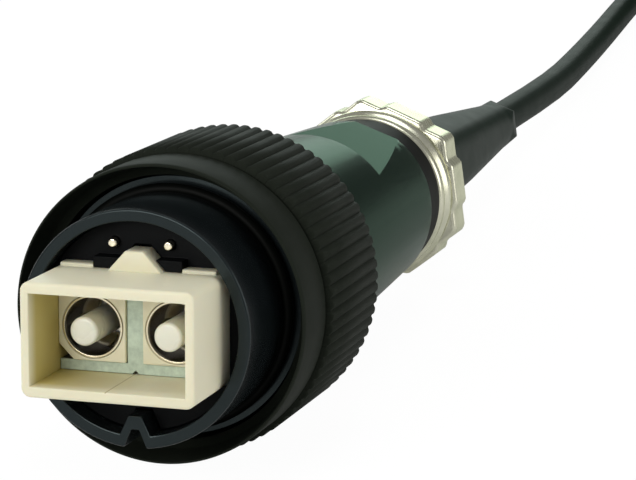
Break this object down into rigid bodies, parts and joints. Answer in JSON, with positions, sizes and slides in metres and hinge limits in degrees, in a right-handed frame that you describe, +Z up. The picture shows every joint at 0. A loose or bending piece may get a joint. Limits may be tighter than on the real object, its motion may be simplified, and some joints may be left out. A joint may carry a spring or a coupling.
{
  "type": "sealed circular duplex fibre plug with contact pins and lead",
  "caption": "Sealed round push-in fibre plug: duplex ferrules in a keyed shroud, two contact pins, knurled coupling ring, tapered body, gland nut, boot and lead tied in a hank.",
  "frame": {"origin": "centre of the barrel's front rim, on the plug's axis", "axes": "+Z up, +Y towards the cable along the surface that the plug lies on, +X to the right seen from the front; the plug's axis dips 4.4 degrees to the rear"},
  "size_m": [0.0359, 0.3429, 0.0284],
  "materials": {
    "barrel_black": "semi-gloss black moulding, faint grain",
    "ring_black": "matt black, knurled",
    "seal_rubber": "black nitrile, satin",
    "carrier_black": "matt black moulding",
    "contact_metal": "plated contact, bright",
    "shroud_beige": "smooth beige engineering plastic",
    "divider_metal": "pale grey-green cast metal, fine grain",
    "cell_cream": "smooth cream plastic",
    "sleeve_metal": "silver-gold spring metal",
    "ferrule_white": "polished white ceramic",
    "holder_steel": "turned steel",
    "spring_steel": "drawn steel wire",
    "fibre_buffer": "tight buffered fibre",
    "conductor_red": "insulated conductor",
    "body_green": "dark grey-green satin",
    "nut_nickel": "warm nickel plate",
    "clamp_grey": "grey nylon",
    "boot_rubber": "dark grey-green rubber, satin",
    "cable_jacket": "dark grey-green jacket, satin",
    "tie_black": "black nylon band"
  },
  "bodies": {
    "plug": {"plug_barrel": "barrel_black", "barrel_seal": "seal_rubber", "body_seal": "seal_rubber", "contact_carrier": "carrier_black", "power_pin_left": "contact_metal", "power_pin_right": "contact_metal", "duplex_shroud": "shroud_beige", "cell_divider": "divider_metal", "cell_housing_left": "cell_cream", "cell_housing_right": "cell_cream", "sleeve_left": "sleeve_metal", "sleeve_right": "sleeve_metal", "ferrule_spring_left": "spring_steel", "ferrule_spring_right": "spring_steel", "conductor_left": "conductor_red", "conductor_right": "conductor_red", "ring_retainer": "holder_steel", "rear_body": "body_green", "crimp_sleeve": "holder_steel", "gland_seal": "seal_rubber", "gland_clamp": "clamp_grey", "gland_nut": "nut_nickel", "strain_relief_boot": "boot_rubber", "cable": "cable_jacket", "cable_coil": "cable_jacket", "cable_tail": "cable_jacket", "coil_tie_left": "tie_black", "coil_tie_right": "tie_black", "cable_end_cap": "seal_rubber"},
    "ring": {"coupling_ring": "ring_black"},
    "left_ferrule": {"ferrule_left": "ferrule_white", "ferrule_holder_left": "holder_steel", "fibre_left": "fibre_buffer"},
    "right_ferrule": {"ferrule_right": "ferrule_white", "ferrule_holder_right": "holder_steel", "fibre_right": "fibre_buffer"}
  },
  "joints": [
    {"name": "ring_turn", "type": "hinge", "parent": "plug", "child": "ring", "pos_m": [0, 0, 0], "axis": [0, -0.997, 0.0769], "continuous": true},
    {"name": "ferrule_left_float", "type": "slide", "parent": "plug", "child": "left_ferrule", "axis": [0, 0.997, -0.0769], "range_m": [0, 0.001], "stiffness_N_per_m": 1500, "springref_m": -0.002, "deforming": ["ferrule_spring_left"]},
    {"name": "ferrule_right_float", "type": "slide", "parent": "plug", "child": "right_ferrule", "axis": [0, 0.997, -0.0769], "range_m": [0, 0.001], "stiffness_N_per_m": 1500, "springref_m": -0.002, "deforming": ["ferrule_spring_right"]}
  ]
}
